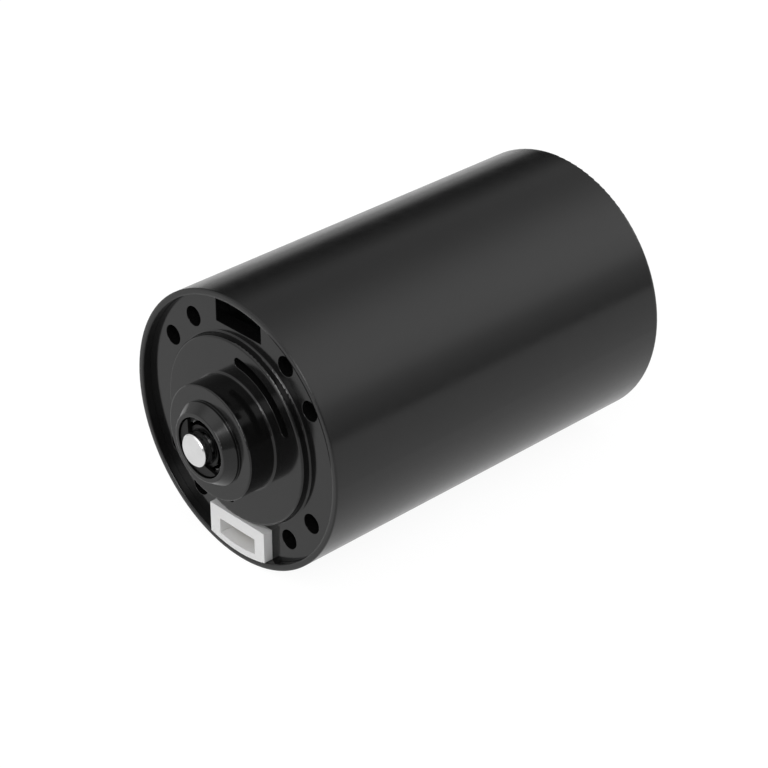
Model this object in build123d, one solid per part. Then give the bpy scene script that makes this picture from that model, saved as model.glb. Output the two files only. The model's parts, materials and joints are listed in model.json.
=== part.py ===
from build123d import *
import math
import os

# Brushless gear motor: a round barrel holding a bearing bell with a plug socket, a brushless
# motor and a single planetary stage. Millimetres. The motor axis is Y, the nose with the
# socket points to -Y, the driven end to +Y and +Z is up. The origin is on the axis, in the
# mounting face at the driven end.

# Barrel
body_length = 92.4
barrel_radius = 30.0
barrel_wall = 1.3
barrel_far_round = 0.5
barrel_rim_chamfer = 0.1

# Clearances
press_gap = 0.01
running_gap = 0.03
ball_gap = 0.02
side_gap = 0.3
cut_overrun = 1.0

# Bell at the nose
plate_recess = 1.9
plate_thickness = 3.6
skirt_depth = 3.0
skirt_wall = 2.2
disc_to_bolts = 3.85
boss_step = 3.33
boss_height = 6.36
nose_wall = 0.99
nose_height = 2.57
nose_bevel = 1.65
nose_bevel_depth = 2.0
nose_lip_overlap = 1.51
nose_lip = 0.98
bell_edge_round = 0.3
disc_edge_round = 0.5
bell_root_round = 0.5
bolt_edge_distance = 4.55
bolt_hole_radius = 2.15
bolt_angles = (32.2, 55.5)
window_half_width = 6.66
window_above_disc = 1.5
vent_from_boss = 4.17
vent_width = 2.2
vent_start = 23.5
vent_sweep = 60.0

# Plug socket
socket_half_width = 8.27
socket_below_disc = 0.1
socket_proud = 0.2
socket_fit = 0.1
pocket_half_width = 5.35
pocket_wall = 2.7
pocket_depth = 6.5
pocket_rim = 1.45
contact_count = 5
contact_pitch = 2.0
contact_size = 0.5
contact_recess = 3.0
contact_tail = 1.0
contact_hole_radius = 0.5

# Nose bearing and the clip on the shaft tail
nose_bore_radius = 3.5
nose_bearing_radius = 8.0
nose_bearing_width = 4.0
nose_ring_wall = 1.0
nose_race_depth = 0.21
nose_race_width = 1.7
nose_race_floor = 0.7
nose_ring_chamfer = 0.25
ball_radius = 1.44
ball_count = 7
ball_start = -13.0
cage_wall = 0.8
cage_width = 3.4
snap_ring_thickness = 1.0
snap_ring_depth = 0.4
snap_ring_width = 1.6
clip_radius = 6.2
clip_thickness = 0.6
clip_float = 0.03
clip_groove_depth = 0.7
clip_edge_gap = 0.21
clip_mouth_angle = 41.0
clip_mouth_spread = 103.4
clip_claw_spread = 96.0
clip_neck_width = 1.6
clip_neck_overlap = 0.3
shaft_stick_out = 1.67
shaft_tip_chamfer = 0.25

# Circuit board behind the bell
board_clearance = 0.5
board_edge_gap = 1.9
board_thickness = 1.6
board_hole_radius = 6.4
board_post_radius = 2.5
board_post_inset = 1.3
board_post_angles = (10, 145, 300)
board_screw_radius = 1.25
board_screw_depth = 5.0
board_head_radius = 2.2
board_head_height = 1.5
sensor_count = 3
sensor_start = 30.0
sensor_inset = 1.8
sensor_width = 4.0
sensor_depth = 3.0
sensor_height = 1.5
chip_size = 9.0
chip_height = 1.2
chip_above_socket = 2.9
transistor_count = 6
transistor_width = 4.0
transistor_depth = 5.0
transistor_height = 1.1
transistor_inset = 5.3
transistor_start = 165.0
transistor_step = 13.0
sensor_magnet_step = 0.03
sensor_magnet_length = 3.0
sensor_air_gap = 0.8

# Stator
board_to_core = 10.4
slot_depth = 8.69
yoke_wall = 4.0
slot_count = 12
tooth_width = 4.2
tooth_tip = 1.4
slot_mouth = 2.0
insulator_thickness = 1.2
insulator_inset = 1.0
insulator_rim_wall = 1.6
insulator_rim_height = 3.2
coil_thickness = 2.0
coil_side_gap = 0.2
coil_end_height = 2.6
coil_corner = 1.4
terminal_count = 3
terminal_radius = 0.5
terminal_start = 60.0

# Rotor
air_gap = 0.7
sleeve_wall = 0.45
magnet_thickness = 2.6
pole_count = 8
magnet_gap_angle = 3.0
rotor_overhang = 0.5
spindle_radius = 4.8
pinion_seat_radius = 3.0

# Bracket between motor and gears, with the drive bearing
core_to_bracket = 6.5
bracket_thickness = 8.0
bracket_relief_depth = 4.0
bracket_relief_inner = 12.0
bracket_relief_outer = 20.5
drive_bearing_radius = 9.5
drive_bearing_width = 6.0
drive_bearing_recess = 0.4
drive_bearing_bore = 4.0
ring_wall = 1.3
shield_thickness = 0.25
shield_gap = 0.2
wave_washer_thickness = 0.4
wave_washer_bore = 8.0
bracket_lip_radius = 7.7

# Gears
ring_rim = 6.44
sun_teeth = 12
planet_teeth = 15
planet_count = 3
pressure_angle = 20.0
gear_backlash = 0.08
tip_trim = 0.1
root_depth = 1.25
ring_tip_shortening = 0.3
flank_steps = 3
planet_width = 12.0
sun_overhang = 0.6
sun_front_reach = 2.0

# Carrier
carrier_tip_gap = 0.7
carrier_thickness = 6.0
carrier_plate_thickness = 1.6
carrier_plate_hole = 7.7
carrier_back_gap = 1.0
planet_pin_radius = 2.5
planet_bush_wall = 1.1
pillar_radius = 3.2
pillar_inset = 0.8
carrier_screw_radius = 1.25
carrier_screw_depth = 7.0
carrier_head_radius = 2.2
carrier_head_height = 1.2

# Driven end
flange_thickness = 10.4
pilot_radius = 12.5
pilot_height = 4.5
flange_lip = 0.8
flange_lip_radius = 8.6
output_radius = 5.0
output_length = 16.0
output_end_radius = 4.0
output_flat_depth = 0.5
output_chamfer = 0.5
output_collar_radius = 6.1
output_bearing_radius = 9.5
output_bearing_width = 5.0
output_ring_wall = 1.2
output_spacer = 1.0
output_clip_radius = 6.6
output_clip_thickness = 0.8
output_groove_depth = 0.4
seal_thickness = 1.6
seal_setback = 0.3
seal_lip_gap = 0.05
mount_edge_distance = 8.69
mount_hole_radius = 1.65
mount_hole_depth = 8.0
mount_hole_count = 4

# Screws that hold the ring gear
gear_screw_radius = 1.5
gear_screw_hole = 1.6
gear_screw_bite = 6.0
gear_screw_count = 4
gear_head_radius = 2.75
gear_head_height = 3.0
gear_head_gap = 0.15
gear_head_edge = 0.79
hex_socket_radius = 1.25
hex_socket_depth = 1.3

# Radii that follow from those above
bore_radius = barrel_radius - barrel_wall
insert_radius = bore_radius - press_gap
bearing_seat = nose_bearing_radius + press_gap
nose_radius = bearing_seat + nose_wall
nose_opening_radius = nose_bearing_radius - nose_lip_overlap
boss_radius = nose_radius + boss_step
bolt_circle_radius = bore_radius - bolt_edge_distance
disc_radius = bolt_circle_radius - disc_to_bolts
window_low = disc_radius + window_above_disc
vent_radius = boss_radius + vent_from_boss
socket_top = disc_radius + socket_below_disc
pocket_top = socket_top + pocket_wall
board_radius = bore_radius - board_edge_gap
board_post_circle = disc_radius - board_post_inset
transistor_circle = board_radius - transistor_inset
gear_screw_circle = insert_radius - gear_head_edge - gear_head_gap - gear_head_radius
mount_circle_radius = insert_radius - mount_edge_distance
shaft_radius = nose_bore_radius - press_gap
ball_circle = (nose_bore_radius + nose_bearing_radius) / 2
yoke_inner_radius = insert_radius - yoke_wall
core_bore_radius = yoke_inner_radius - slot_depth
sleeve_radius = core_bore_radius - air_gap
magnet_radius = sleeve_radius - sleeve_wall - press_gap
rotor_core_radius = magnet_radius - magnet_thickness - press_gap
sensor_magnet_radius = rotor_core_radius - sensor_magnet_step
sensor_circle = sensor_magnet_radius - sensor_inset
clip_groove_radius = nose_bore_radius - clip_groove_depth
clip_groove_half = clip_thickness / 2 + clip_float
ring_teeth = sun_teeth + 2 * planet_teeth
gear_module = (insert_radius - ring_rim) / (ring_teeth / 2 + root_depth)
sun_radius = gear_module * sun_teeth / 2
planet_radius = gear_module * planet_teeth / 2
planet_circle = sun_radius + planet_radius
ring_radius = gear_module * ring_teeth / 2
ring_tip_radius = ring_radius - gear_module + ring_tip_shortening
carrier_radius = ring_tip_radius - carrier_tip_gap
pillar_circle = carrier_radius - pillar_inset - pillar_radius
planet_bore = planet_pin_radius + running_gap + planet_bush_wall + press_gap

# Stations along the axis, from the nose to the driven end
rim = -body_length
plate_front = rim + plate_recess
plate_back = plate_front + plate_thickness
skirt_end = plate_back + skirt_depth
boss_front = rim - boss_height
nose_tip = boss_front - nose_height
bearing_front = nose_tip + nose_lip
bearing_back = bearing_front + nose_bearing_width
snap_front = bearing_back + ball_gap
snap_back = snap_front + snap_ring_thickness
clip_middle = bearing_front - clip_float - clip_thickness / 2
shaft_tip = nose_tip - shaft_stick_out
socket_front = rim - socket_proud
board_front = skirt_end + board_clearance
board_back = board_front + board_thickness
sensor_back = board_back + sensor_height
sensor_magnet_front = sensor_back + sensor_air_gap
core_front = board_back + board_to_core
flange_back = -flange_thickness
carrier_back = flange_back - carrier_back_gap
carrier_front = carrier_back - carrier_thickness
planet_back = carrier_front - side_gap
planet_front = planet_back - planet_width
carrier_plate_back = planet_front - side_gap
carrier_plate_front = carrier_plate_back - carrier_plate_thickness
bracket_back = carrier_plate_front - side_gap
bracket_front = bracket_back - bracket_thickness
core_back = bracket_front - core_to_bracket
drive_front = bracket_front + drive_bearing_recess
drive_back = drive_front + drive_bearing_width
washer_back = drive_back + wave_washer_thickness + ball_gap
sun_front = planet_front - sun_front_reach
sun_back = planet_back - sun_overhang
first_output_bearing = flange_back + flange_lip
first_output_back = first_output_bearing + output_bearing_width
second_output_bearing = first_output_back + output_spacer
second_output_back = second_output_bearing + output_bearing_width
output_clip_front = second_output_back + ball_gap
output_clip_back = output_clip_front + output_clip_thickness
seal_back = pilot_height - seal_setback
seal_front = seal_back - seal_thickness


def section(station):
    """Cross-section plane at a station, seen from the nose: x to the right, y up."""
    return Plane(origin=(0, station, 0), x_dir=(1, 0, 0), z_dir=(0, -1, 0))


def slab(outline, near, far):
    """Solid between two stations from an outline drawn as seen from the nose."""
    return extrude(section(far) * outline, far - near)


def profile(*corners):
    """Face in the half plane of the axis from (radius, station) corners."""
    return make_face(Polyline(*corners, close=True))


def rounded(face, radius, *corners):
    """The profile with its named corners rounded."""
    picked = [min(face.vertices(), key=lambda v: (v.X - x) ** 2 + (v.Y - y) ** 2) for x, y in corners]
    return fillet(picked, radius)


def turned(face):
    """Solid of revolution about the motor axis."""
    return revolve(face, Axis.Y)


def ring(inner, outer, near, far):
    """Plain tube about the axis, or a disc where inner is 0."""
    return turned(profile((inner, near), (outer, near), (outer, far), (inner, far)))


def polar(radius, angle):
    """Point at an angle seen from the nose, counted from +X towards +Z."""
    return radius * math.cos(math.radians(angle)), radius * math.sin(math.radians(angle))


def rod(centre, radius, near, far):
    """Cylinder parallel to the axis."""
    return slab(Pos(*centre) * Circle(radius), near, far)


def block(centre, width, height, near, far):
    """Box parallel to the axis, square to the frame."""
    return slab(Pos(*centre) * Rectangle(width, height), near, far)


def even_angles(count, start=0.0):
    """Angles of equal steps round the axis."""
    return [start + 360 * i / count for i in range(count)]


def group(solids):
    """Separate solids kept in one node."""
    return Compound(children=list(solids))


def housing_tube():
    """Drawn barrel, rounded at the driven end."""
    rim_edge = barrel_radius - barrel_rim_chamfer
    face = profile(
        (bore_radius, rim),
        (rim_edge, rim),
        (barrel_radius, rim + barrel_rim_chamfer),
        (barrel_radius, 0),
        (bore_radius, 0),
    )
    return turned(rounded(face, min(barrel_far_round, 0.9 * barrel_wall), (barrel_radius, 0)))


def bell_body():
    """Turned form of the bell: skirt, plate, raised disc, boss and bevelled nose."""
    nose_top = nose_radius - nose_bevel
    face = profile(
        (nose_opening_radius, nose_tip),
        (nose_top, nose_tip),
        (nose_radius, nose_tip + nose_bevel_depth),
        (nose_radius, boss_front),
        (boss_radius, boss_front),
        (boss_radius, rim),
        (disc_radius, rim),
        (disc_radius, plate_front),
        (insert_radius, plate_front),
        (insert_radius, skirt_end),
        (insert_radius - skirt_wall, skirt_end),
        (insert_radius - skirt_wall, plate_back),
        (bearing_seat, plate_back),
        (bearing_seat, bearing_front),
        (nose_opening_radius, bearing_front),
    )
    edges = ((nose_top, nose_tip), (nose_radius, nose_tip + nose_bevel_depth), (boss_radius, boss_front))
    face = rounded(face, bell_edge_round, *edges)
    face = rounded(face, disc_edge_round, (disc_radius, rim))
    return turned(rounded(face, bell_root_round, (boss_radius, rim), (disc_radius, plate_front)))


def vent_outline(start):
    """Arc slot with round ends."""
    path = CenterArc((0, 0), vent_radius, start, vent_sweep)
    end = start + vent_sweep
    arc = make_face(Polyline((0, 0), polar(2 * vent_radius, start), polar(2 * vent_radius, end), close=True))
    band = (Circle(vent_radius + vent_width / 2) - Circle(vent_radius - vent_width / 2)) & arc
    ends = [Pos(*polar(vent_radius, a)) * Circle(vent_width / 2) for a in (start, start + vent_sweep)]
    return band + ends[0] + ends[1]


def socket_outline(half_width, top, arc_radius):
    """Straight top and sides, with the lower side following the barrel."""
    depth = 2 * arc_radius
    return (Pos(0, -top - depth / 2) * Rectangle(2 * half_width, depth)) & Circle(arc_radius)


def board_posts():
    """Centres of the posts that carry the circuit board."""
    return [polar(board_post_circle, angle) for angle in board_post_angles]


def bolt_points():
    """Centres of the eight holes in the plate, mirrored left to right and top to bottom."""
    return [
        polar(bolt_circle_radius, side + sign * angle)
        for angle in bolt_angles
        for side in even_angles(2)
        for sign in (1, -1)
    ]


def end_bell():
    """Bell with its holes, wire window, vents, socket notch and board posts."""
    bell = bell_body()
    for centre in board_posts():
        bell += rod(centre, board_post_radius, plate_back, board_front)
        bell -= rod(centre, board_screw_radius + press_gap, board_front - board_screw_depth, board_front)
    for centre in bolt_points():
        bell -= rod(centre, bolt_hole_radius, plate_front - cut_overrun, skirt_end + cut_overrun)
    window_height = barrel_radius - window_low
    window_centre = (0, window_low + window_height / 2)
    window_ends = (plate_front - cut_overrun, skirt_end + cut_overrun)
    bell -= block(window_centre, 2 * window_half_width, window_height, *window_ends)
    for start in even_angles(2, vent_start):
        bell -= slab(vent_outline(start), rim - cut_overrun, plate_back + cut_overrun)
    notch = socket_outline(socket_half_width + socket_fit, socket_top - socket_fit, barrel_radius)
    bell -= slab(notch, rim - cut_overrun, skirt_end + cut_overrun)
    groove = bearing_seat + snap_ring_depth
    return bell - ring(0, groove, snap_front - ball_gap, snap_back + ball_gap)


def contact_points():
    """Centres of the contacts, level with the middle of the pocket."""
    height = -(pocket_top + bore_radius - socket_fit - pocket_rim) / 2
    first = -contact_pitch * (contact_count - 1) / 2
    return [(first + i * contact_pitch, height) for i in range(contact_count)]


def connector_header():
    """Moulded socket that runs from just proud of the rim back to the circuit board."""
    outer_arc = bore_radius - socket_fit
    body = slab(socket_outline(socket_half_width, socket_top, outer_arc), socket_front, board_front)
    pocket = socket_outline(pocket_half_width, pocket_top, outer_arc - pocket_rim)
    body -= slab(pocket, socket_front - cut_overrun, socket_front + pocket_depth)
    hole = contact_size + 2 * press_gap
    for centre in contact_points():
        body -= block(centre, hole, hole, socket_front, board_front + cut_overrun)
    return body


def connector_contacts():
    """Square pins from inside the pocket through the board."""
    front = socket_front + contact_recess
    back = board_back + contact_tail
    return group(block(centre, contact_size, contact_size, front, back) for centre in contact_points())


def terminal_points():
    """Centres of the pins that join the windings to the board, in the insulator's rim."""
    reach = yoke_inner_radius + insulator_rim_wall / 2
    return [polar(reach, angle) for angle in even_angles(terminal_count, terminal_start)]


def control_board():
    """Round circuit board with its holes."""
    board = ring(board_hole_radius, board_radius, board_front, board_back)
    holes = [(centre, board_screw_radius + running_gap) for centre in board_posts()]
    holes += [(centre, contact_hole_radius) for centre in contact_points()]
    holes += [(centre, terminal_radius + press_gap) for centre in terminal_points()]
    for centre, radius in holes:
        board -= rod(centre, radius, board_front - cut_overrun, board_back + cut_overrun)
    return board


def board_screws():
    """Pan head screws through the board into the posts."""
    tip = board_front - board_screw_depth + side_gap
    head_top = board_back + board_head_height
    return group(
        rod(centre, board_screw_radius, tip, board_back)
        + rod(centre, board_head_radius, board_back, head_top)
        - rod(centre, board_screw_radius / 2, board_back + board_head_height / 2, head_top)
        for centre in board_posts()
    )


def on_board(width, depth, height, radius, angle):
    """Rectangular component on the back of the board, square to the line from the axis."""
    outline = Rot(0, 0, angle) * Pos(radius, 0) * Rectangle(depth, width)
    return slab(outline, board_back, board_back + height)


def hall_sensors():
    """Position sensors facing the sensor magnet."""
    angles = even_angles(sensor_count, sensor_start)
    return group(on_board(sensor_width, sensor_depth, sensor_height, sensor_circle, a) for a in angles)


def driver_chip():
    """Motor driver in a square package above the socket."""
    return on_board(chip_size, chip_size, chip_height, socket_top - chip_above_socket, -90)


def power_transistors():
    """Row of power transistors along the board's edge."""
    angles = [transistor_start + i * transistor_step for i in range(transistor_count)]
    size = (transistor_width, transistor_depth, transistor_height)
    return group(on_board(*size, transistor_circle, a) for a in angles)


def race_groove(wall_radius, floor_radius, middle):
    """Turned cutter for a ball race: bevelled sides and a flat floor."""
    half, floor = nose_race_width / 2, nose_race_floor / 2
    return turned(
        profile(
            (wall_radius, middle - half),
            (floor_radius, middle - floor),
            (floor_radius, middle + floor),
            (wall_radius, middle + half),
        )
    )


def nose_bearing_inner_ring():
    """Inner ring of the open ball bearing in the nose."""
    middle = (bearing_front + bearing_back) / 2
    wall = nose_bore_radius + nose_ring_wall
    entry = nose_bore_radius + nose_ring_chamfer
    body = turned(
        profile(
            (entry, bearing_front),
            (wall, bearing_front),
            (wall, bearing_back),
            (entry, bearing_back),
            (nose_bore_radius, bearing_back - nose_ring_chamfer),
            (nose_bore_radius, bearing_front + nose_ring_chamfer),
        )
    )
    return body - race_groove(wall, ball_circle - ball_radius - ball_gap, middle)


def nose_bearing_outer_ring():
    """Outer ring of the open ball bearing in the nose."""
    middle = (bearing_front + bearing_back) / 2
    wall = nose_bearing_radius - nose_ring_wall
    body = ring(wall, nose_bearing_radius, bearing_front, bearing_back)
    return body - race_groove(wall, ball_circle + ball_radius + ball_gap, middle)


def ball_spot(angle):
    """Centre of one ball."""
    x, z = polar(ball_circle, angle)
    return Pos(x, (bearing_front + bearing_back) / 2, z)


def nose_bearing_balls():
    """Balls of the nose bearing."""
    return group(ball_spot(angle) * Sphere(ball_radius) for angle in even_angles(ball_count, ball_start))


def nose_bearing_cage():
    """Cage that spaces the balls, with one round pocket for each."""
    middle = (bearing_front + bearing_back) / 2
    near, far = middle - cage_width / 2, middle + cage_width / 2
    cage = ring(ball_circle - cage_wall / 2, ball_circle + cage_wall / 2, near, far)
    for angle in even_angles(ball_count, ball_start):
        cutter = Rot(0, 90, 0) * Cylinder(ball_radius + ball_gap, 4 * cage_wall)
        cage -= Rot(0, -angle, 0) * Pos(ball_circle, middle, 0) * cutter
    return cage


def bearing_snap_ring():
    """Open ring in the bell's groove that holds the bearing against the nose lip."""
    outer = bearing_seat + snap_ring_depth - press_gap
    inner = outer - snap_ring_width
    outline = Circle(outer) - Circle(inner) - Pos(0, -outer) * Rectangle(2 * snap_ring_width, 2 * outer)
    return slab(outline, snap_front, snap_back)


def wedge(apex, direction, spread, reach):
    """Triangle that opens from its apex."""
    corners = [polar(reach, direction + sign * spread / 2) for sign in (-1, 1)]
    return make_face(Polyline(apex, *[(apex[0] + x, apex[1] + z) for x, z in corners], close=True))


def shaft_clip():
    """Clip in the shaft's groove: a disc with a wide mouth, joined by two necks to claws in the groove."""
    apex_depth = (shaft_radius + clip_edge_gap) / math.sin(math.radians(clip_mouth_spread / 2))
    apex = polar(-apex_depth, clip_mouth_angle)
    mouth = wedge(apex, clip_mouth_angle, clip_mouth_spread, 6 * clip_radius)
    inner = clip_groove_radius + running_gap
    claw_mouth = wedge((0, 0), clip_mouth_angle, clip_claw_spread, 6 * clip_radius)
    claws = Circle(shaft_radius - clip_float) - claw_mouth
    outline = (Circle(clip_radius) - mouth) + claws
    neck_length = clip_edge_gap + 2 * clip_neck_overlap
    for side in (-1, 1):
        turn = clip_mouth_angle + side * (90 + clip_mouth_spread / 2)
        neck = Pos(shaft_radius + clip_edge_gap / 2, 0) * Rectangle(neck_length, clip_neck_width)
        outline += Rot(0, 0, turn) * neck
    outline -= Circle(inner)
    half = clip_thickness / 2
    return slab(outline, clip_middle - half, clip_middle + half)


def rotor_shaft():
    """Stepped steel shaft from the chamfered tail to the pinion seat."""
    drive_radius = drive_bearing_bore - press_gap
    pinion_radius = pinion_seat_radius - press_gap
    groove_front, groove_back = clip_middle - clip_groove_half, clip_middle + clip_groove_half
    face = profile(
        (0, shaft_tip),
        (shaft_radius - shaft_tip_chamfer, shaft_tip),
        (shaft_radius, shaft_tip + shaft_tip_chamfer),
        (shaft_radius, groove_front),
        (clip_groove_radius, groove_front),
        (clip_groove_radius, groove_back),
        (shaft_radius, groove_back),
        (shaft_radius, bearing_back),
        (spindle_radius, bearing_back),
        (spindle_radius, drive_front),
        (drive_radius, drive_front),
        (drive_radius, sun_front),
        (pinion_radius, sun_front),
        (pinion_radius, sun_back),
        (0, sun_back),
    )
    return turned(face)


def core_outline(outer, clearance=0.0):
    """Lamination: yoke, straight teeth and tooth tips that leave narrow slot mouths."""
    tooth_length = yoke_inner_radius - core_bore_radius
    tooth_middle = core_bore_radius + tooth_length / 2 + tooth_tip / 2
    outline = Circle(outer) - Circle(yoke_inner_radius)
    tips = Circle(core_bore_radius + tooth_tip) - Circle(core_bore_radius)
    for angle in even_angles(slot_count):
        outline += Rot(0, 0, angle) * Pos(tooth_middle, 0) * Rectangle(tooth_length, tooth_width - clearance)
        mouth = Pos(core_bore_radius, 0) * Rectangle(4 * tooth_tip, slot_mouth)
        tips -= Rot(0, 0, angle + 180 / slot_count) * mouth
    return outline + tips


def stator_core():
    """Stack of laminations, pressed into the barrel."""
    return slab(core_outline(insert_radius), core_front, core_back)


def stator_insulator(face_station, outward):
    """Moulded end plate of the core, with a rim that holds the end turns."""
    plate_end = face_station + outward * insulator_thickness
    rim_end = plate_end + outward * insulator_rim_height
    plate = slab(core_outline(insert_radius - insulator_inset), *sorted((face_station, plate_end)))
    rim_outer = yoke_inner_radius + insulator_rim_wall
    rim_wall = ring(yoke_inner_radius, rim_outer, *sorted((face_station, rim_end)))
    insulator = plate + rim_wall
    if outward < 0:
        for centre in terminal_points():
            insulator -= rod(centre, terminal_radius + press_gap, rim_end - cut_overrun, plate_end)
    return insulator


def stator_coils():
    """One coil round each tooth."""
    inner_half = tooth_width / 2 + coil_side_gap
    outer_half = inner_half + coil_thickness
    reach = insulator_thickness + press_gap
    near, far = core_front - reach, core_back + reach
    low = core_bore_radius + tooth_tip + side_gap
    high = math.sqrt((yoke_inner_radius - side_gap) ** 2 - outer_half ** 2)
    cut = coil_corner
    top, bottom = far + coil_end_height, near - coil_end_height
    loop = Polyline(
        (outer_half - cut, bottom), (outer_half, bottom + cut),
        (outer_half, top - cut), (outer_half - cut, top),
        (cut - outer_half, top), (-outer_half, top - cut),
        (-outer_half, bottom + cut), (cut - outer_half, bottom),
        close=True,
    )
    window = Polyline(
        (inner_half, near), (inner_half, far), (-inner_half, far), (-inner_half, near), close=True
    )
    coil = Pos(0, 0, low) * extrude(make_face(loop) - make_face(window), high - low)
    return group(Rot(0, angle, 0) * coil for angle in even_angles(slot_count, 90))


def phase_terminals():
    """Pins that carry the windings' current from the front insulator to the board."""
    pin_foot = core_front - insulator_thickness
    return group(rod(centre, terminal_radius, board_front, pin_foot) for centre in terminal_points())


def rotor_core():
    """Steel core on the shaft."""
    near, far = core_front - rotor_overhang, core_back + rotor_overhang
    return ring(spindle_radius + press_gap, rotor_core_radius, near, far)


def rotor_magnets():
    """Curved magnets round the core."""
    near, far = core_front - rotor_overhang, core_back + rotor_overhang
    band = Circle(magnet_radius) - Circle(magnet_radius - magnet_thickness)
    spread = 360 / pole_count - magnet_gap_angle
    return group(
        slab(band & wedge((0, 0), angle, spread, 4 * magnet_radius), near, far)
        for angle in even_angles(pole_count)
    )


def rotor_sleeve():
    """Thin band that holds the magnets."""
    near, far = core_front - rotor_overhang, core_back + rotor_overhang
    return ring(sleeve_radius - sleeve_wall, sleeve_radius, near, far)


def sensor_magnet():
    """Ring magnet that the sensors read."""
    end = sensor_magnet_front + sensor_magnet_length
    return ring(spindle_radius + press_gap, sensor_magnet_radius, sensor_magnet_front, end)


def motor_bracket():
    """Bracket that closes the motor and seats the drive bearing."""
    pocket = drive_bearing_radius + press_gap
    relief = bracket_front + bracket_relief_depth
    bracket = turned(
        profile(
            (pocket, bracket_front),
            (bracket_relief_inner, bracket_front),
            (bracket_relief_inner, relief),
            (bracket_relief_outer, relief),
            (bracket_relief_outer, bracket_front),
            (insert_radius, bracket_front),
            (insert_radius, bracket_back),
            (bracket_lip_radius, bracket_back),
            (bracket_lip_radius, washer_back),
            (pocket, washer_back),
        )
    )
    seat = bracket_front + gear_head_height + gear_head_gap
    for centre in bracket_screw_points():
        bracket -= rod(centre, gear_head_radius + gear_head_gap, bracket_front - cut_overrun, seat)
        bracket -= rod(centre, gear_screw_hole, bracket_front, bracket_back + cut_overrun)
    return bracket


def shielded_outer_ring(bore, outer, wall, near, far):
    """Outer ring of a shielded bearing with its two shields."""
    shield = bore + wall + shield_gap
    body = ring(outer - wall, outer, near, far)
    body += ring(shield, outer - wall / 2, near, near + shield_thickness)
    return body + ring(shield, outer - wall / 2, far - shield_thickness, far)


def wave_washer():
    """Spring washer that preloads the drive bearing."""
    outer = drive_bearing_radius - side_gap
    return ring(wave_washer_bore, outer, drive_back + press_gap, washer_back - press_gap)


def involute(angle):
    """Involute function of an angle in radians."""
    return math.tan(angle) - angle


def gear_outline(teeth, tip_radius, root_radius, widening):
    """Gear outline with straight-cut involute flanks, and a tooth centred on +X."""
    pitch_radius = gear_module * teeth / 2
    pressure = math.radians(pressure_angle)
    base_radius = pitch_radius * math.cos(pressure)
    half_pitch_angle = math.pi / (2 * teeth) + involute(pressure) + widening / (2 * pitch_radius)

    def half_angle(radius):
        return half_pitch_angle - involute(math.acos(min(1.0, base_radius / radius)))

    start = max(root_radius, base_radius)
    radii = [start + (tip_radius - start) * step / flank_steps for step in range(flank_steps + 1)]
    if root_radius < base_radius:
        radii = [root_radius] + radii
    corners = []
    for middle in even_angles(teeth):
        lower = [polar(r, middle - math.degrees(half_angle(r))) for r in radii]
        upper = [polar(r, middle + math.degrees(half_angle(r))) for r in reversed(radii)]
        corners += lower + upper
    return make_face(Polyline(*corners, close=True))


def spur_outline(teeth):
    """Outline of an external gear with slightly thinned teeth."""
    pitch_radius = gear_module * teeth / 2
    tip = pitch_radius + gear_module - tip_trim
    root = pitch_radius - root_depth * gear_module
    return gear_outline(teeth, tip, root, -gear_backlash)


def sun_pinion():
    """Pinion pressed on the rotor shaft."""
    return slab(spur_outline(sun_teeth) - Circle(pinion_seat_radius), sun_front, sun_back)


def planet_centre(index):
    """Centre of one planet."""
    return polar(planet_circle, 360 * index / planet_count)


def planet_gear(index):
    """Planet with its tooth pointing away from the sun."""
    outline = spur_outline(planet_teeth) - Circle(planet_bore)
    placed = Pos(*planet_centre(index)) * Rot(0, 0, 360 * index / planet_count) * outline
    return slab(placed, planet_front, planet_back)


def planet_bush(index):
    """Bronze bush pressed into a planet."""
    inner = planet_pin_radius + running_gap
    outline = Circle(inner + planet_bush_wall) - Circle(inner)
    return slab(Pos(*planet_centre(index)) * outline, planet_front, planet_back)


def gear_screw_points():
    """Centres of the screws at the driven end."""
    return [polar(gear_screw_circle, angle) for angle in even_angles(gear_screw_count)]


def bracket_screw_points():
    """Centres of the screws in the bracket, half a step round from the others."""
    return [polar(gear_screw_circle, a) for a in even_angles(gear_screw_count, 180 / gear_screw_count)]


def ring_gear():
    """Internal gear between bracket and flange, drilled at both ends for its screws."""
    root = ring_radius + root_depth * gear_module
    space = gear_outline(ring_teeth, root, ring_tip_radius, gear_backlash)
    body = slab(Circle(insert_radius) - space, bracket_back, flange_back)
    hole = gear_screw_radius + press_gap
    for centre in bracket_screw_points():
        body -= rod(centre, hole, bracket_back - cut_overrun, bracket_back + gear_screw_bite + side_gap)
    for centre in gear_screw_points():
        body -= rod(centre, hole, flange_back - gear_screw_bite - side_gap, flange_back + cut_overrun)
    return body


def socket_screw(centre, head_face, seat, tip):
    """Socket head screw from its head's face to its tip, along the axis either way."""
    inward = 1 if tip > head_face else -1
    screw = rod(centre, gear_head_radius, *sorted((head_face, seat)))
    screw += rod(centre, gear_screw_radius, *sorted((seat, tip)))
    recess = Pos(*centre) * RegularPolygon(hex_socket_radius, 6)
    return screw - slab(recess, *sorted((head_face, head_face + inward * hex_socket_depth)))


def gearbox_screws():
    """Screws from the mounting face into the ring gear."""
    seat = -gear_head_height - gear_head_gap
    tip = flange_back - gear_screw_bite
    return group(socket_screw(c, seat + gear_head_height, seat, tip) for c in gear_screw_points())


def bracket_screws():
    """Screws from the motor side of the bracket into the ring gear."""
    seat = bracket_front + gear_head_height + gear_head_gap
    tip = bracket_back + gear_screw_bite
    return group(socket_screw(c, seat - gear_head_height, seat, tip) for c in bracket_screw_points())


def pillar_points():
    """Centres of the carrier's pillars, midway between the planets."""
    return [polar(pillar_circle, a) for a in even_angles(planet_count, 180 / planet_count)]


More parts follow.
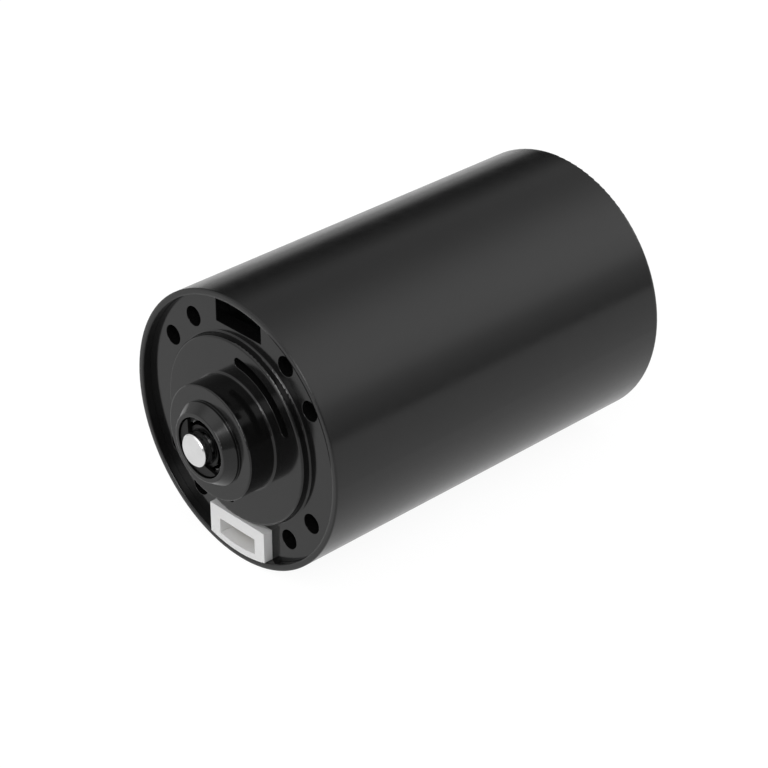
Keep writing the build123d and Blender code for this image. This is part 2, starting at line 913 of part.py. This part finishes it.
def planet_carrier():
    """Carrier disc on the output shaft, with a pillar between each pair of planets."""
    carrier = ring(output_radius, carrier_radius, carrier_front, carrier_back)
    screw_hole_end = carrier_plate_back + carrier_screw_depth
    for centre in pillar_points():
        carrier += rod(centre, pillar_radius, carrier_plate_back, carrier_front)
        carrier -= rod(centre, carrier_screw_radius + press_gap, carrier_plate_back, screw_hole_end)
    pin_hole_radius = planet_pin_radius + press_gap
    for index in range(planet_count):
        carrier -= rod(planet_centre(index), pin_hole_radius, carrier_front, carrier_back + cut_overrun)
    return carrier


def carrier_plate():
    """Front plate that steadies the planet pins."""
    plate = ring(carrier_plate_hole, carrier_radius, carrier_plate_front, carrier_plate_back)
    for centre in pillar_points():
        plate -= rod(centre, carrier_screw_radius + running_gap, carrier_plate_front, carrier_plate_back)
        head_seat = carrier_plate_front + carrier_head_height
        plate -= rod(centre, carrier_head_radius + running_gap, carrier_plate_front - cut_overrun, head_seat)
    pin_hole_radius = planet_pin_radius + press_gap
    for index in range(planet_count):
        plate -= rod(planet_centre(index), pin_hole_radius, carrier_plate_front, carrier_plate_back)
    return plate


def carrier_screws():
    """Flat head screws that hold the front plate to the pillars."""
    head_seat = carrier_plate_front + carrier_head_height
    tip = carrier_plate_back + carrier_screw_depth - side_gap
    return group(
        rod(centre, carrier_head_radius, carrier_plate_front, head_seat)
        + rod(centre, carrier_screw_radius, head_seat, tip)
        for centre in pillar_points()
    )


def planet_pins():
    """Pins that the planets turn on."""
    return group(
        rod(planet_centre(index), planet_pin_radius, carrier_plate_front, carrier_back)
        for index in range(planet_count)
    )


def output_shaft():
    """Output shaft with a collar, a clip groove and a flat along its thinner free end."""
    seat = output_radius - press_gap
    groove = seat - output_groove_depth
    face = profile(
        (0, carrier_front),
        (seat, carrier_front),
        (seat, carrier_back),
        (output_collar_radius, carrier_back),
        (output_collar_radius, first_output_bearing),
        (seat, first_output_bearing),
        (seat, output_clip_front - ball_gap),
        (groove, output_clip_front - ball_gap),
        (groove, output_clip_back + ball_gap),
        (seat, output_clip_back + ball_gap),
        (seat, pilot_height),
        (output_end_radius, pilot_height),
        (output_end_radius, output_length - output_chamfer),
        (output_end_radius - output_chamfer, output_length),
        (0, output_length),
    )
    flat_centre = (0, output_end_radius)
    flat_end = output_length + cut_overrun
    flat = block(flat_centre, 2 * output_radius, 2 * output_flat_depth, pilot_height, flat_end)
    return turned(face) - flat


def output_shaft_clip():
    """Open ring in the output shaft's groove."""
    inner = output_radius - output_groove_depth
    outline = Circle(output_clip_radius) - Circle(inner)
    outline -= Pos(0, -output_clip_radius) * Rectangle(inner, 2 * output_clip_radius)
    return slab(outline, output_clip_front, output_clip_back)


def output_flange():
    """Driven end cover: bearing seat, pilot, mounting holes and screw seats."""
    pocket = output_bearing_radius + press_gap
    flange = turned(
        profile(
            (flange_lip_radius, flange_back),
            (insert_radius, flange_back),
            (insert_radius, 0),
            (pilot_radius, 0),
            (pilot_radius, pilot_height),
            (pocket, pilot_height),
            (pocket, first_output_bearing),
            (flange_lip_radius, first_output_bearing),
        )
    )
    for angle in even_angles(mount_hole_count, 180 / mount_hole_count):
        flange -= rod(polar(mount_circle_radius, angle), mount_hole_radius, -mount_hole_depth, cut_overrun)
    seat = -gear_head_height - gear_head_gap
    for centre in gear_screw_points():
        flange -= rod(centre, gear_head_radius + gear_head_gap, seat, cut_overrun)
        flange -= rod(centre, gear_screw_hole, flange_back - cut_overrun, seat)
    return flange


def output_seal():
    """Rubber seal round the output shaft."""
    middle = (seal_front + seal_back) / 2
    lip = output_radius + seal_lip_gap
    web = (output_bearing_radius + output_radius) / 2
    return turned(
        profile(
            (lip, seal_front),
            (output_bearing_radius, seal_front),
            (output_bearing_radius, seal_back),
            (web, seal_back),
            (web, middle),
            (lip, middle),
        )
    )


def output_bearing_outer(near):
    """Outer ring and shields of one output bearing."""
    far = near + output_bearing_width
    return shielded_outer_ring(output_radius, output_bearing_radius, output_ring_wall, near, far)


def output_bearing_inner(near):
    """Inner ring of one output bearing."""
    return ring(output_radius, output_radius + output_ring_wall, near, near + output_bearing_width)


def all_parts():
    """Every sub-part by the name of its node."""
    parts = {
        "housing_tube": housing_tube(),
        "end_bell": end_bell(),
        "connector_header": connector_header(),
        "connector_contacts": connector_contacts(),
        "control_board": control_board(),
        "board_screws": board_screws(),
        "hall_sensors": hall_sensors(),
        "driver_chip": driver_chip(),
        "power_transistors": power_transistors(),
        "phase_terminals": phase_terminals(),
        "nose_bearing_outer_ring": nose_bearing_outer_ring(),
        "nose_bearing_inner_ring": nose_bearing_inner_ring(),
        "nose_bearing_balls": nose_bearing_balls(),
        "nose_bearing_cage": nose_bearing_cage(),
        "bearing_snap_ring": bearing_snap_ring(),
        "shaft_clip": shaft_clip(),
        "rotor_shaft": rotor_shaft(),
        "rotor_core": rotor_core(),
        "rotor_magnets": rotor_magnets(),
        "rotor_sleeve": rotor_sleeve(),
        "sensor_magnet": sensor_magnet(),
        "stator_core": stator_core(),
        "stator_insulator_front": stator_insulator(core_front, -1),
        "stator_insulator_rear": stator_insulator(core_back, 1),
        "stator_coils": stator_coils(),
        "motor_bracket": motor_bracket(),
        "bracket_screws": bracket_screws(),
        "drive_bearing_outer_ring": shielded_outer_ring(
            drive_bearing_bore, drive_bearing_radius, ring_wall, drive_front, drive_back
        ),
        "drive_bearing_inner_ring": ring(
            drive_bearing_bore, drive_bearing_bore + ring_wall, drive_front, drive_back
        ),
        "wave_washer": wave_washer(),
        "sun_pinion": sun_pinion(),
        "ring_gear": ring_gear(),
        "planet_carrier": planet_carrier(),
        "carrier_plate": carrier_plate(),
        "carrier_screws": carrier_screws(),
        "planet_pins": planet_pins(),
        "output_flange": output_flange(),
        "gearbox_screws": gearbox_screws(),
        "output_shaft": output_shaft(),
        "output_shaft_clip": output_shaft_clip(),
        "output_seal": output_seal(),
        "output_bearing_1_outer": output_bearing_outer(first_output_bearing),
        "output_bearing_1_inner": output_bearing_inner(first_output_bearing),
        "output_bearing_2_outer": output_bearing_outer(second_output_bearing),
        "output_bearing_2_inner": output_bearing_inner(second_output_bearing),
        "output_spacer_outer": ring(
            output_bearing_radius - output_ring_wall,
            output_bearing_radius,
            first_output_back,
            second_output_bearing,
        ),
        "output_spacer_inner": ring(
            output_radius, output_radius + output_ring_wall, first_output_back, second_output_bearing
        ),
    }
    for index in range(planet_count):
        parts[f"planet_gear_{index + 1}"] = planet_gear(index)
        parts[f"planet_bush_{index + 1}"] = planet_bush(index)
    return parts


os.makedirs("parts", exist_ok=True)
for name, shape in all_parts().items():
    export_step(shape, f"parts/{name}.step")
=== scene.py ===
import json
import math

import bpy
from mathutils import Matrix, Vector


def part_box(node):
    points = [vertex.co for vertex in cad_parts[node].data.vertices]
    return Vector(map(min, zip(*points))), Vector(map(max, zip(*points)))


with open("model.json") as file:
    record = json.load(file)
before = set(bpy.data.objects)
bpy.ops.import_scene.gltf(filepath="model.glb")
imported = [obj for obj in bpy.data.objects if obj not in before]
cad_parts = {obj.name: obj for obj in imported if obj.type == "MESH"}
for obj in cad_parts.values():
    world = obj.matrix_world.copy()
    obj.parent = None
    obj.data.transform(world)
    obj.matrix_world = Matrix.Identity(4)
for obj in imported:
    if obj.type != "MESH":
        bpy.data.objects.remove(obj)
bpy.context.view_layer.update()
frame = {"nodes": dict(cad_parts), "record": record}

# Camera at the photograph's viewpoint: degrees, metres, and millimetres for the lens and its sensor
CAMERA_AZIMUTH = 46.5555
CAMERA_ELEVATION = 30.683
CAMERA_DISTANCE = 0.52286
CAMERA_LENS = 117.42
CAMERA_SENSOR = 36.0
CAMERA_REACH = 100
AIM_RIGHT = -0.003933
AIM_UP = -0.006807

# The object's own sizes, from the frame
BARREL_LOW, BARREL_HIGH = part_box("housing_tube")
RIM_Y = BARREL_LOW[1]
FAR_Y = BARREL_HIGH[1]
FLOOR_Z = BARREL_LOW[2]

# The clip's groove in the shaft tail with the step behind it, as distances in front of the rim,
# and the grey painted there on the shaft steel as shade of the recess
GROOVE = (0.00790, 0.00868)
GROOVE_PAINTED_SHADE = 0.16

# Surfaces: the part of a noise's range that carries the change, how much finer the patches of
# gloss are than those of colour, by what share they change it, the grain's relief, the samples
# for a softened edge, and the stretch of marks that run round the axis
NOISE_MIDDLE = (0.35, 0.65)
GLOSS_FINER = 3
GLOSS_CHANGE = 0.1
GRAIN_HEIGHT = 0.00002
GRAIN_STRENGTH = 0.06
EDGE_SAMPLES = 12
LATHE = (1, 40, 1)

# Floor: its size in metres, its own colour and roughness, how much of it takes the object's
# shadow, and its level to the camera and in reflections
FLOOR_SIZE = 2.4
FLOOR_COLOUR = 0.88
FLOOR_ROUGHNESS = 0.9
SHADOW_SHARE = 0.12
FLOOR_SEEN = 1.06
FLOOR_MIRRORED = 0.82

# Studio round the object. Behind it the light runs over an arch, given as degrees from the right
# horizon over the top to the left one, each with its level
ARCH = ((0, 0.30), (9, 0.50), (21, 0.72), (33, 1.30), (51, 1.44), (69, 1.30), (81, 1.08), (93, 0.80),
        (105, 0.57), (117, 0.46), (129, 0.44), (141, 0.16), (153, 0.04), (165, 0.03), (177, 0.64))
ARCH_TOP = 2.0
# In front of it: direction to a soft box's middle, half width in degrees, softness in degrees, level
SOFT_BOXES = (
    ((0.08, -0.96, 0.24), 5, 6, 3.2),
    ((0.28, -0.88, 0.38), 8, 9, 2.3),
    ((0.47, -0.55, 0.69), 6, 8, 5.5),
    ((-0.62, -0.51, 0.59), 30, 30, 0.50),
    ((0.15, -0.45, 0.88), 25, 30, 0.60),
)
# Level between the soft boxes, and the depths between which front turns into back
FRONT_LEVEL = 0.25
FRONT_BLEND = (-0.25, 0.30)

WHITE = (1, 1, 1, 1)


def grey(value):
    """Neutral colour."""
    return (value, value, value)


def compute(nodes, links, operation, *terms):
    """Result of a sum on numbers and on other nodes' outputs."""
    node = nodes.new("ShaderNodeMath")
    node.operation = operation
    for socket, term in zip(node.inputs, terms):
        if isinstance(term, (int, float)):
            socket.default_value = term
        else:
            links.new(term, socket)
    return node.outputs[0]


def remap(nodes, links, value, source, target, smooth=False):
    """Number carried over from the range source to the range target."""
    node = nodes.new("ShaderNodeMapRange")
    if smooth:
        node.interpolation_type = "SMOOTHSTEP"
    node.inputs["From Min"].default_value = source[0]
    node.inputs["From Max"].default_value = source[1]
    node.inputs["To Min"].default_value = target[0]
    node.inputs["To Max"].default_value = target[1]
    links.new(value, node.inputs["Value"])
    return node.outputs["Result"]


def mix_shaders(nodes, links, share, first, second, output):
    """Sends the output a share of the second shader over the first."""
    mix = nodes.new("ShaderNodeMixShader")
    links.new(share, mix.inputs[0])
    links.new(first.outputs[0], mix.inputs[1])
    links.new(second.outputs[0], mix.inputs[2])
    links.new(mix.outputs[0], nodes[output].inputs["Surface"])


def material(name):
    """New node material with its nodes, links and shader."""
    made = bpy.data.materials.new(name)
    made.use_nodes = True
    return made, made.node_tree.nodes, made.node_tree.links, made.node_tree.nodes["Principled BSDF"]


def noise(nodes, links, scale, detail, stretch):
    """Noise in object space, with about scale cells to the metre."""
    texture = nodes.new("ShaderNodeTexNoise")
    texture.inputs["Scale"].default_value = scale
    texture.inputs["Detail"].default_value = detail
    source = nodes.new("ShaderNodeTexCoord").outputs["Object"]
    if stretch:
        mapping = nodes.new("ShaderNodeMapping")
        mapping.inputs["Scale"].default_value = stretch
        links.new(source, mapping.inputs["Vector"])
        source = mapping.outputs["Vector"]
    links.new(source, texture.inputs["Vector"])
    return texture.outputs["Fac"]


def shade(nodes, links, source, low, high):
    """Colour that runs from low to high over the noise's middle."""
    node = nodes.new("ShaderNodeValToRGB")
    for step, place, colour in zip(node.color_ramp.elements, NOISE_MIDDLE, (low, high)):
        step.position = place
        step.color = (*colour, 1)
    links.new(source, node.inputs["Fac"])
    return node.outputs["Color"]


def relief(nodes, links, height, shader):
    """Fine bump."""
    node = nodes.new("ShaderNodeBump")
    node.inputs["Strength"].default_value = GRAIN_STRENGTH
    node.inputs["Distance"].default_value = GRAIN_HEIGHT
    links.new(height, node.inputs["Height"])
    links.new(node.outputs["Normal"], shader.inputs["Normal"])
    return node


def surface(name, colour, roughness, metal=0.0, ior=1.45, patch=120, grain=2600, uneven=0.1,
            stretch=None, edge=0.0):
    """Procedural surface: slow patches of colour, finer patches of gloss, and the finest grain as relief."""
    made, nodes, links, shader = material(name)
    low = tuple(c * (1 - uneven) for c in colour)
    patches = shade(nodes, links, noise(nodes, links, patch, 2, stretch), low, colour)
    links.new(patches, shader.inputs["Base Color"])
    gloss = noise(nodes, links, patch * GLOSS_FINER, 4, stretch)
    limits = (roughness * (1 - GLOSS_CHANGE), roughness * (1 + GLOSS_CHANGE))
    links.new(remap(nodes, links, gloss, NOISE_MIDDLE, limits), shader.inputs["Roughness"])
    shader.inputs["Metallic"].default_value = metal
    shader.inputs["IOR"].default_value = ior
    bump = relief(nodes, links, noise(nodes, links, grain, 2, stretch), shader)
    if edge:
        soft = nodes.new("ShaderNodeBevel")
        soft.samples = EDGE_SAMPLES
        soft.inputs["Radius"].default_value = edge
        links.new(soft.outputs["Normal"], bump.inputs["Normal"])
    return made


def paint_shade_band(made, first, last, colour):
    """Paints shade on a surface: another colour between two places along the axis."""
    nodes, links = made.node_tree.nodes, made.node_tree.links
    base = nodes["Principled BSDF"].inputs["Base Color"]
    place = nodes.new("ShaderNodeSeparateXYZ")
    links.new(nodes.new("ShaderNodeTexCoord").outputs["Object"], place.inputs[0])
    inside = compute(nodes, links, "COMPARE", place.outputs["Y"], (first + last) / 2, (last - first) / 2)
    paint = nodes.new("ShaderNodeMix")
    paint.data_type = "RGBA"
    paint.inputs["B"].default_value = (*colour, 1)
    links.new(inside, paint.inputs["Factor"])
    links.new(base.links[0].from_socket, paint.inputs["A"])
    links.new(paint.outputs["Result"], base)


def slot_surfaces():
    """Surface of each of the record's material slots."""
    looks = {
        "barrel_black": surface("barrel_coat", grey(0.006), 0.20, edge=0.0007),
        "bell_black": surface("bell_coat", grey(0.0045), 0.12, edge=0.00018),
        "flange_black": surface("flange_coat", grey(0.006), 0.22),
        "socket_white": surface("socket_nylon", grey(0.69), 0.42, patch=200, grain=5000, uneven=0.03,
                                edge=0.0001),
        "contact_metal": surface("contact_plating", (0.85, 0.70, 0.38), 0.22, metal=1.0, grain=4000),
        "board_black": surface("board_mask", (0.010, 0.013, 0.012), 0.35, patch=400, grain=6000),
        "chip_black": surface("chip_epoxy", grey(0.022), 0.55, patch=400, grain=8000),
        "screw_steel": surface("screw_black_steel", grey(0.11), 0.34, metal=1.0, grain=5000),
        "shaft_steel": surface("shaft_ground_steel", grey(0.84), 0.20, metal=1.0, patch=300, grain=3000,
                               stretch=LATHE, uneven=0.05),
        "clip_dark": surface("clip_spring_steel", grey(0.006), 0.34, ior=1.25, grain=5000, edge=0.00008),
        # Painted shade: the bearing steel is near black, standing in for the shade deep in the nose bore.
        "bearing_steel": surface("bearing_steel", grey(0.02), 0.34, metal=1.0, patch=300, grain=4000,
                                 uneven=0.04),
        "cage_dark": surface("cage_polymer", grey(0.018), 0.45, grain=5000),
        "lamination_steel": surface("lamination_steel", grey(0.30), 0.38, metal=1.0, patch=500,
                                    stretch=(1, 12, 1)),
        "insulator_plastic": surface("insulator_polymer", grey(0.045), 0.45, grain=5000),
        "copper": surface("enamelled_copper", (0.62, 0.22, 0.08), 0.30, metal=0.9, patch=900,
                          stretch=(1, 4, 1)),
        "magnet": surface("nickel_plate", grey(0.42), 0.26, metal=1.0, grain=4000),
        "sleeve_steel": surface("stainless_band", grey(0.55), 0.24, metal=1.0, stretch=LATHE),
        "gear_steel": surface("gear_steel", grey(0.36), 0.28, metal=1.0, patch=400, grain=4000),
        "bronze": surface("sintered_bronze", (0.52, 0.33, 0.13), 0.42, metal=1.0, patch=700, grain=6000),
        "bracket_aluminium": surface("turned_aluminium", grey(0.66), 0.28, metal=1.0),
        "seal_rubber": surface("seal_rubber", grey(0.014), 0.6, patch=500, grain=7000),
    }
    # Painted shade: the shaft steel turns grey in the clip's groove and on the step behind it.
    paint_shade_band(looks["shaft_steel"], RIM_Y - GROOVE[1], RIM_Y - GROOVE[0], grey(GROOVE_PAINTED_SHADE))
    return looks


def dress_nodes():
    """Gives every carried-over node the surface of its slot, and the balls their own polish with a
    painted-shade darkness.
    """
    looks = slot_surfaces()
    # Painted shade: the balls' dark grey dims what they mirror in the bore, leaving only small glints.
    balls = surface("polished_shaded_balls", grey(0.12), 0.08, metal=1.0, patch=300, grain=4000, uneven=0.03)
    for entry in frame["record"]["subparts"]:
        node = frame["nodes"][entry["node"]]
        node.data.materials.clear()
        own = balls if entry["node"] == "nose_bearing_balls" else looks[entry["material_slot"]]
        node.data.materials.append(own)


def camera():
    """Camera that looks as the photograph does."""
    azimuth, elevation = math.radians(CAMERA_AZIMUTH), math.radians(CAMERA_ELEVATION)
    right = Vector((math.cos(azimuth), math.sin(azimuth), 0))
    back = Vector((math.sin(azimuth), -math.cos(azimuth), 0)) * math.cos(elevation)
    back.z = math.sin(elevation)
    up = back.cross(right)
    middle = Vector((0, (RIM_Y + FAR_Y) / 2, 0))
    place = middle + right * AIM_RIGHT + up * AIM_UP + back * CAMERA_DISTANCE
    lens = bpy.data.cameras.new("camera")
    lens.lens = CAMERA_LENS
    lens.sensor_width = CAMERA_SENSOR
    lens.clip_end = CAMERA_REACH
    eye = bpy.data.objects.new("camera", lens)
    eye.matrix_world = Matrix.Translation(place) @ Matrix((right, up, back)).transposed().to_4x4()
    bpy.context.collection.objects.link(eye)
    bpy.context.scene.camera = eye


def floor_material():
    """White to the camera and in mirrors and glass, with a share that takes light and shadow."""
    made, nodes, links, paper = material("floor_paper")
    paper.inputs["Base Color"].default_value = (*grey(FLOOR_COLOUR), 1)
    paper.inputs["Roughness"].default_value = FLOOR_ROUGHNESS
    ray = nodes.new("ShaderNodeLightPath").outputs
    white = nodes.new("ShaderNodeEmission")
    white.inputs["Color"].default_value = WHITE
    level = remap(nodes, links, ray["Is Camera Ray"], (0, 1), (FLOOR_MIRRORED, FLOOR_SEEN))
    links.new(level, white.inputs["Strength"])
    direct = compute(nodes, links, "MAXIMUM", ray["Is Camera Ray"], ray["Is Glossy Ray"])
    direct = compute(nodes, links, "MAXIMUM", direct, ray["Is Transmission Ray"])
    share = compute(nodes, links, "MULTIPLY", direct, 1 - SHADOW_SHARE)
    mix_shaders(nodes, links, share, paper, white, "Material Output")
    return made


def floor():
    """Pale floor that shows white and keeps a faint shadow."""
    half = FLOOR_SIZE / 2
    corners = [(x, y, FLOOR_Z) for x, y in ((-half, -half), (half, -half), (half, half), (-half, half))]
    sheet = bpy.data.meshes.new("floor")
    sheet.from_pydata(corners, [], [(0, 1, 2, 3)])
    sheet.materials.append(floor_material())
    ground = bpy.data.objects.new("floor", sheet)
    bpy.context.collection.objects.link(ground)


def arch(nodes, links, place):
    """Level of the arch in a direction, given as its three parts."""
    angle = compute(nodes, links, "ARCTAN2", place["Z"], place["X"])
    ramp = nodes.new("ShaderNodeValToRGB")
    steps = ramp.color_ramp.elements
    while len(steps) < len(ARCH):
        steps.new(1.0)
    for step, (degrees, level) in zip(steps, ARCH):
        step.position = degrees / 180
        step.color = (*grey(level / ARCH_TOP), 1)
    links.new(compute(nodes, links, "DIVIDE", angle, math.pi), ramp.inputs["Fac"])
    return compute(nodes, links, "MULTIPLY", ramp.outputs["Color"], ARCH_TOP)


def soft_boxes(nodes, links, direction):
    """Summed level of the soft boxes in a direction."""
    total = FRONT_LEVEL
    for towards, half_width, softness, level in SOFT_BOXES:
        dot = nodes.new("ShaderNodeVectorMath")
        dot.operation = "DOT_PRODUCT"
        dot.inputs[1].default_value = Vector(towards).normalized()
        links.new(direction, dot.inputs[0])
        edge = (math.cos(math.radians(half_width + softness)), math.cos(math.radians(half_width)))
        box = remap(nodes, links, dot.outputs["Value"], edge, (0, level), smooth=True)
        total = compute(nodes, links, "ADD", total, box)
    return total


def studio():
    """World: white to the camera, and the studio's lights for every other ray."""
    world = bpy.data.worlds.new("studio")
    world.use_nodes = True
    bpy.context.scene.world = world
    nodes, links = world.node_tree.nodes, world.node_tree.links
    direction = nodes.new("ShaderNodeTexCoord").outputs["Generated"]
    parts = nodes.new("ShaderNodeSeparateXYZ")
    links.new(direction, parts.inputs[0])
    behind = remap(nodes, links, parts.outputs["Y"], FRONT_BLEND, (0, 1), smooth=True)
    level = nodes.new("ShaderNodeMix")
    links.new(behind, level.inputs["Factor"])
    links.new(soft_boxes(nodes, links, direction), level.inputs["A"])
    links.new(arch(nodes, links, parts.outputs), level.inputs["B"])
    room = nodes["Background"]
    room.inputs["Color"].default_value = WHITE
    links.new(level.outputs["Result"], room.inputs["Strength"])
    white = nodes.new("ShaderNodeBackground")
    white.inputs["Color"].default_value = WHITE
    ray = nodes.new("ShaderNodeLightPath").outputs
    mix_shaders(nodes, links, ray["Is Camera Ray"], room, white, "World Output")


camera()
dress_nodes()
floor()
studio()
bpy.context.scene.view_settings.view_transform = "Standard"
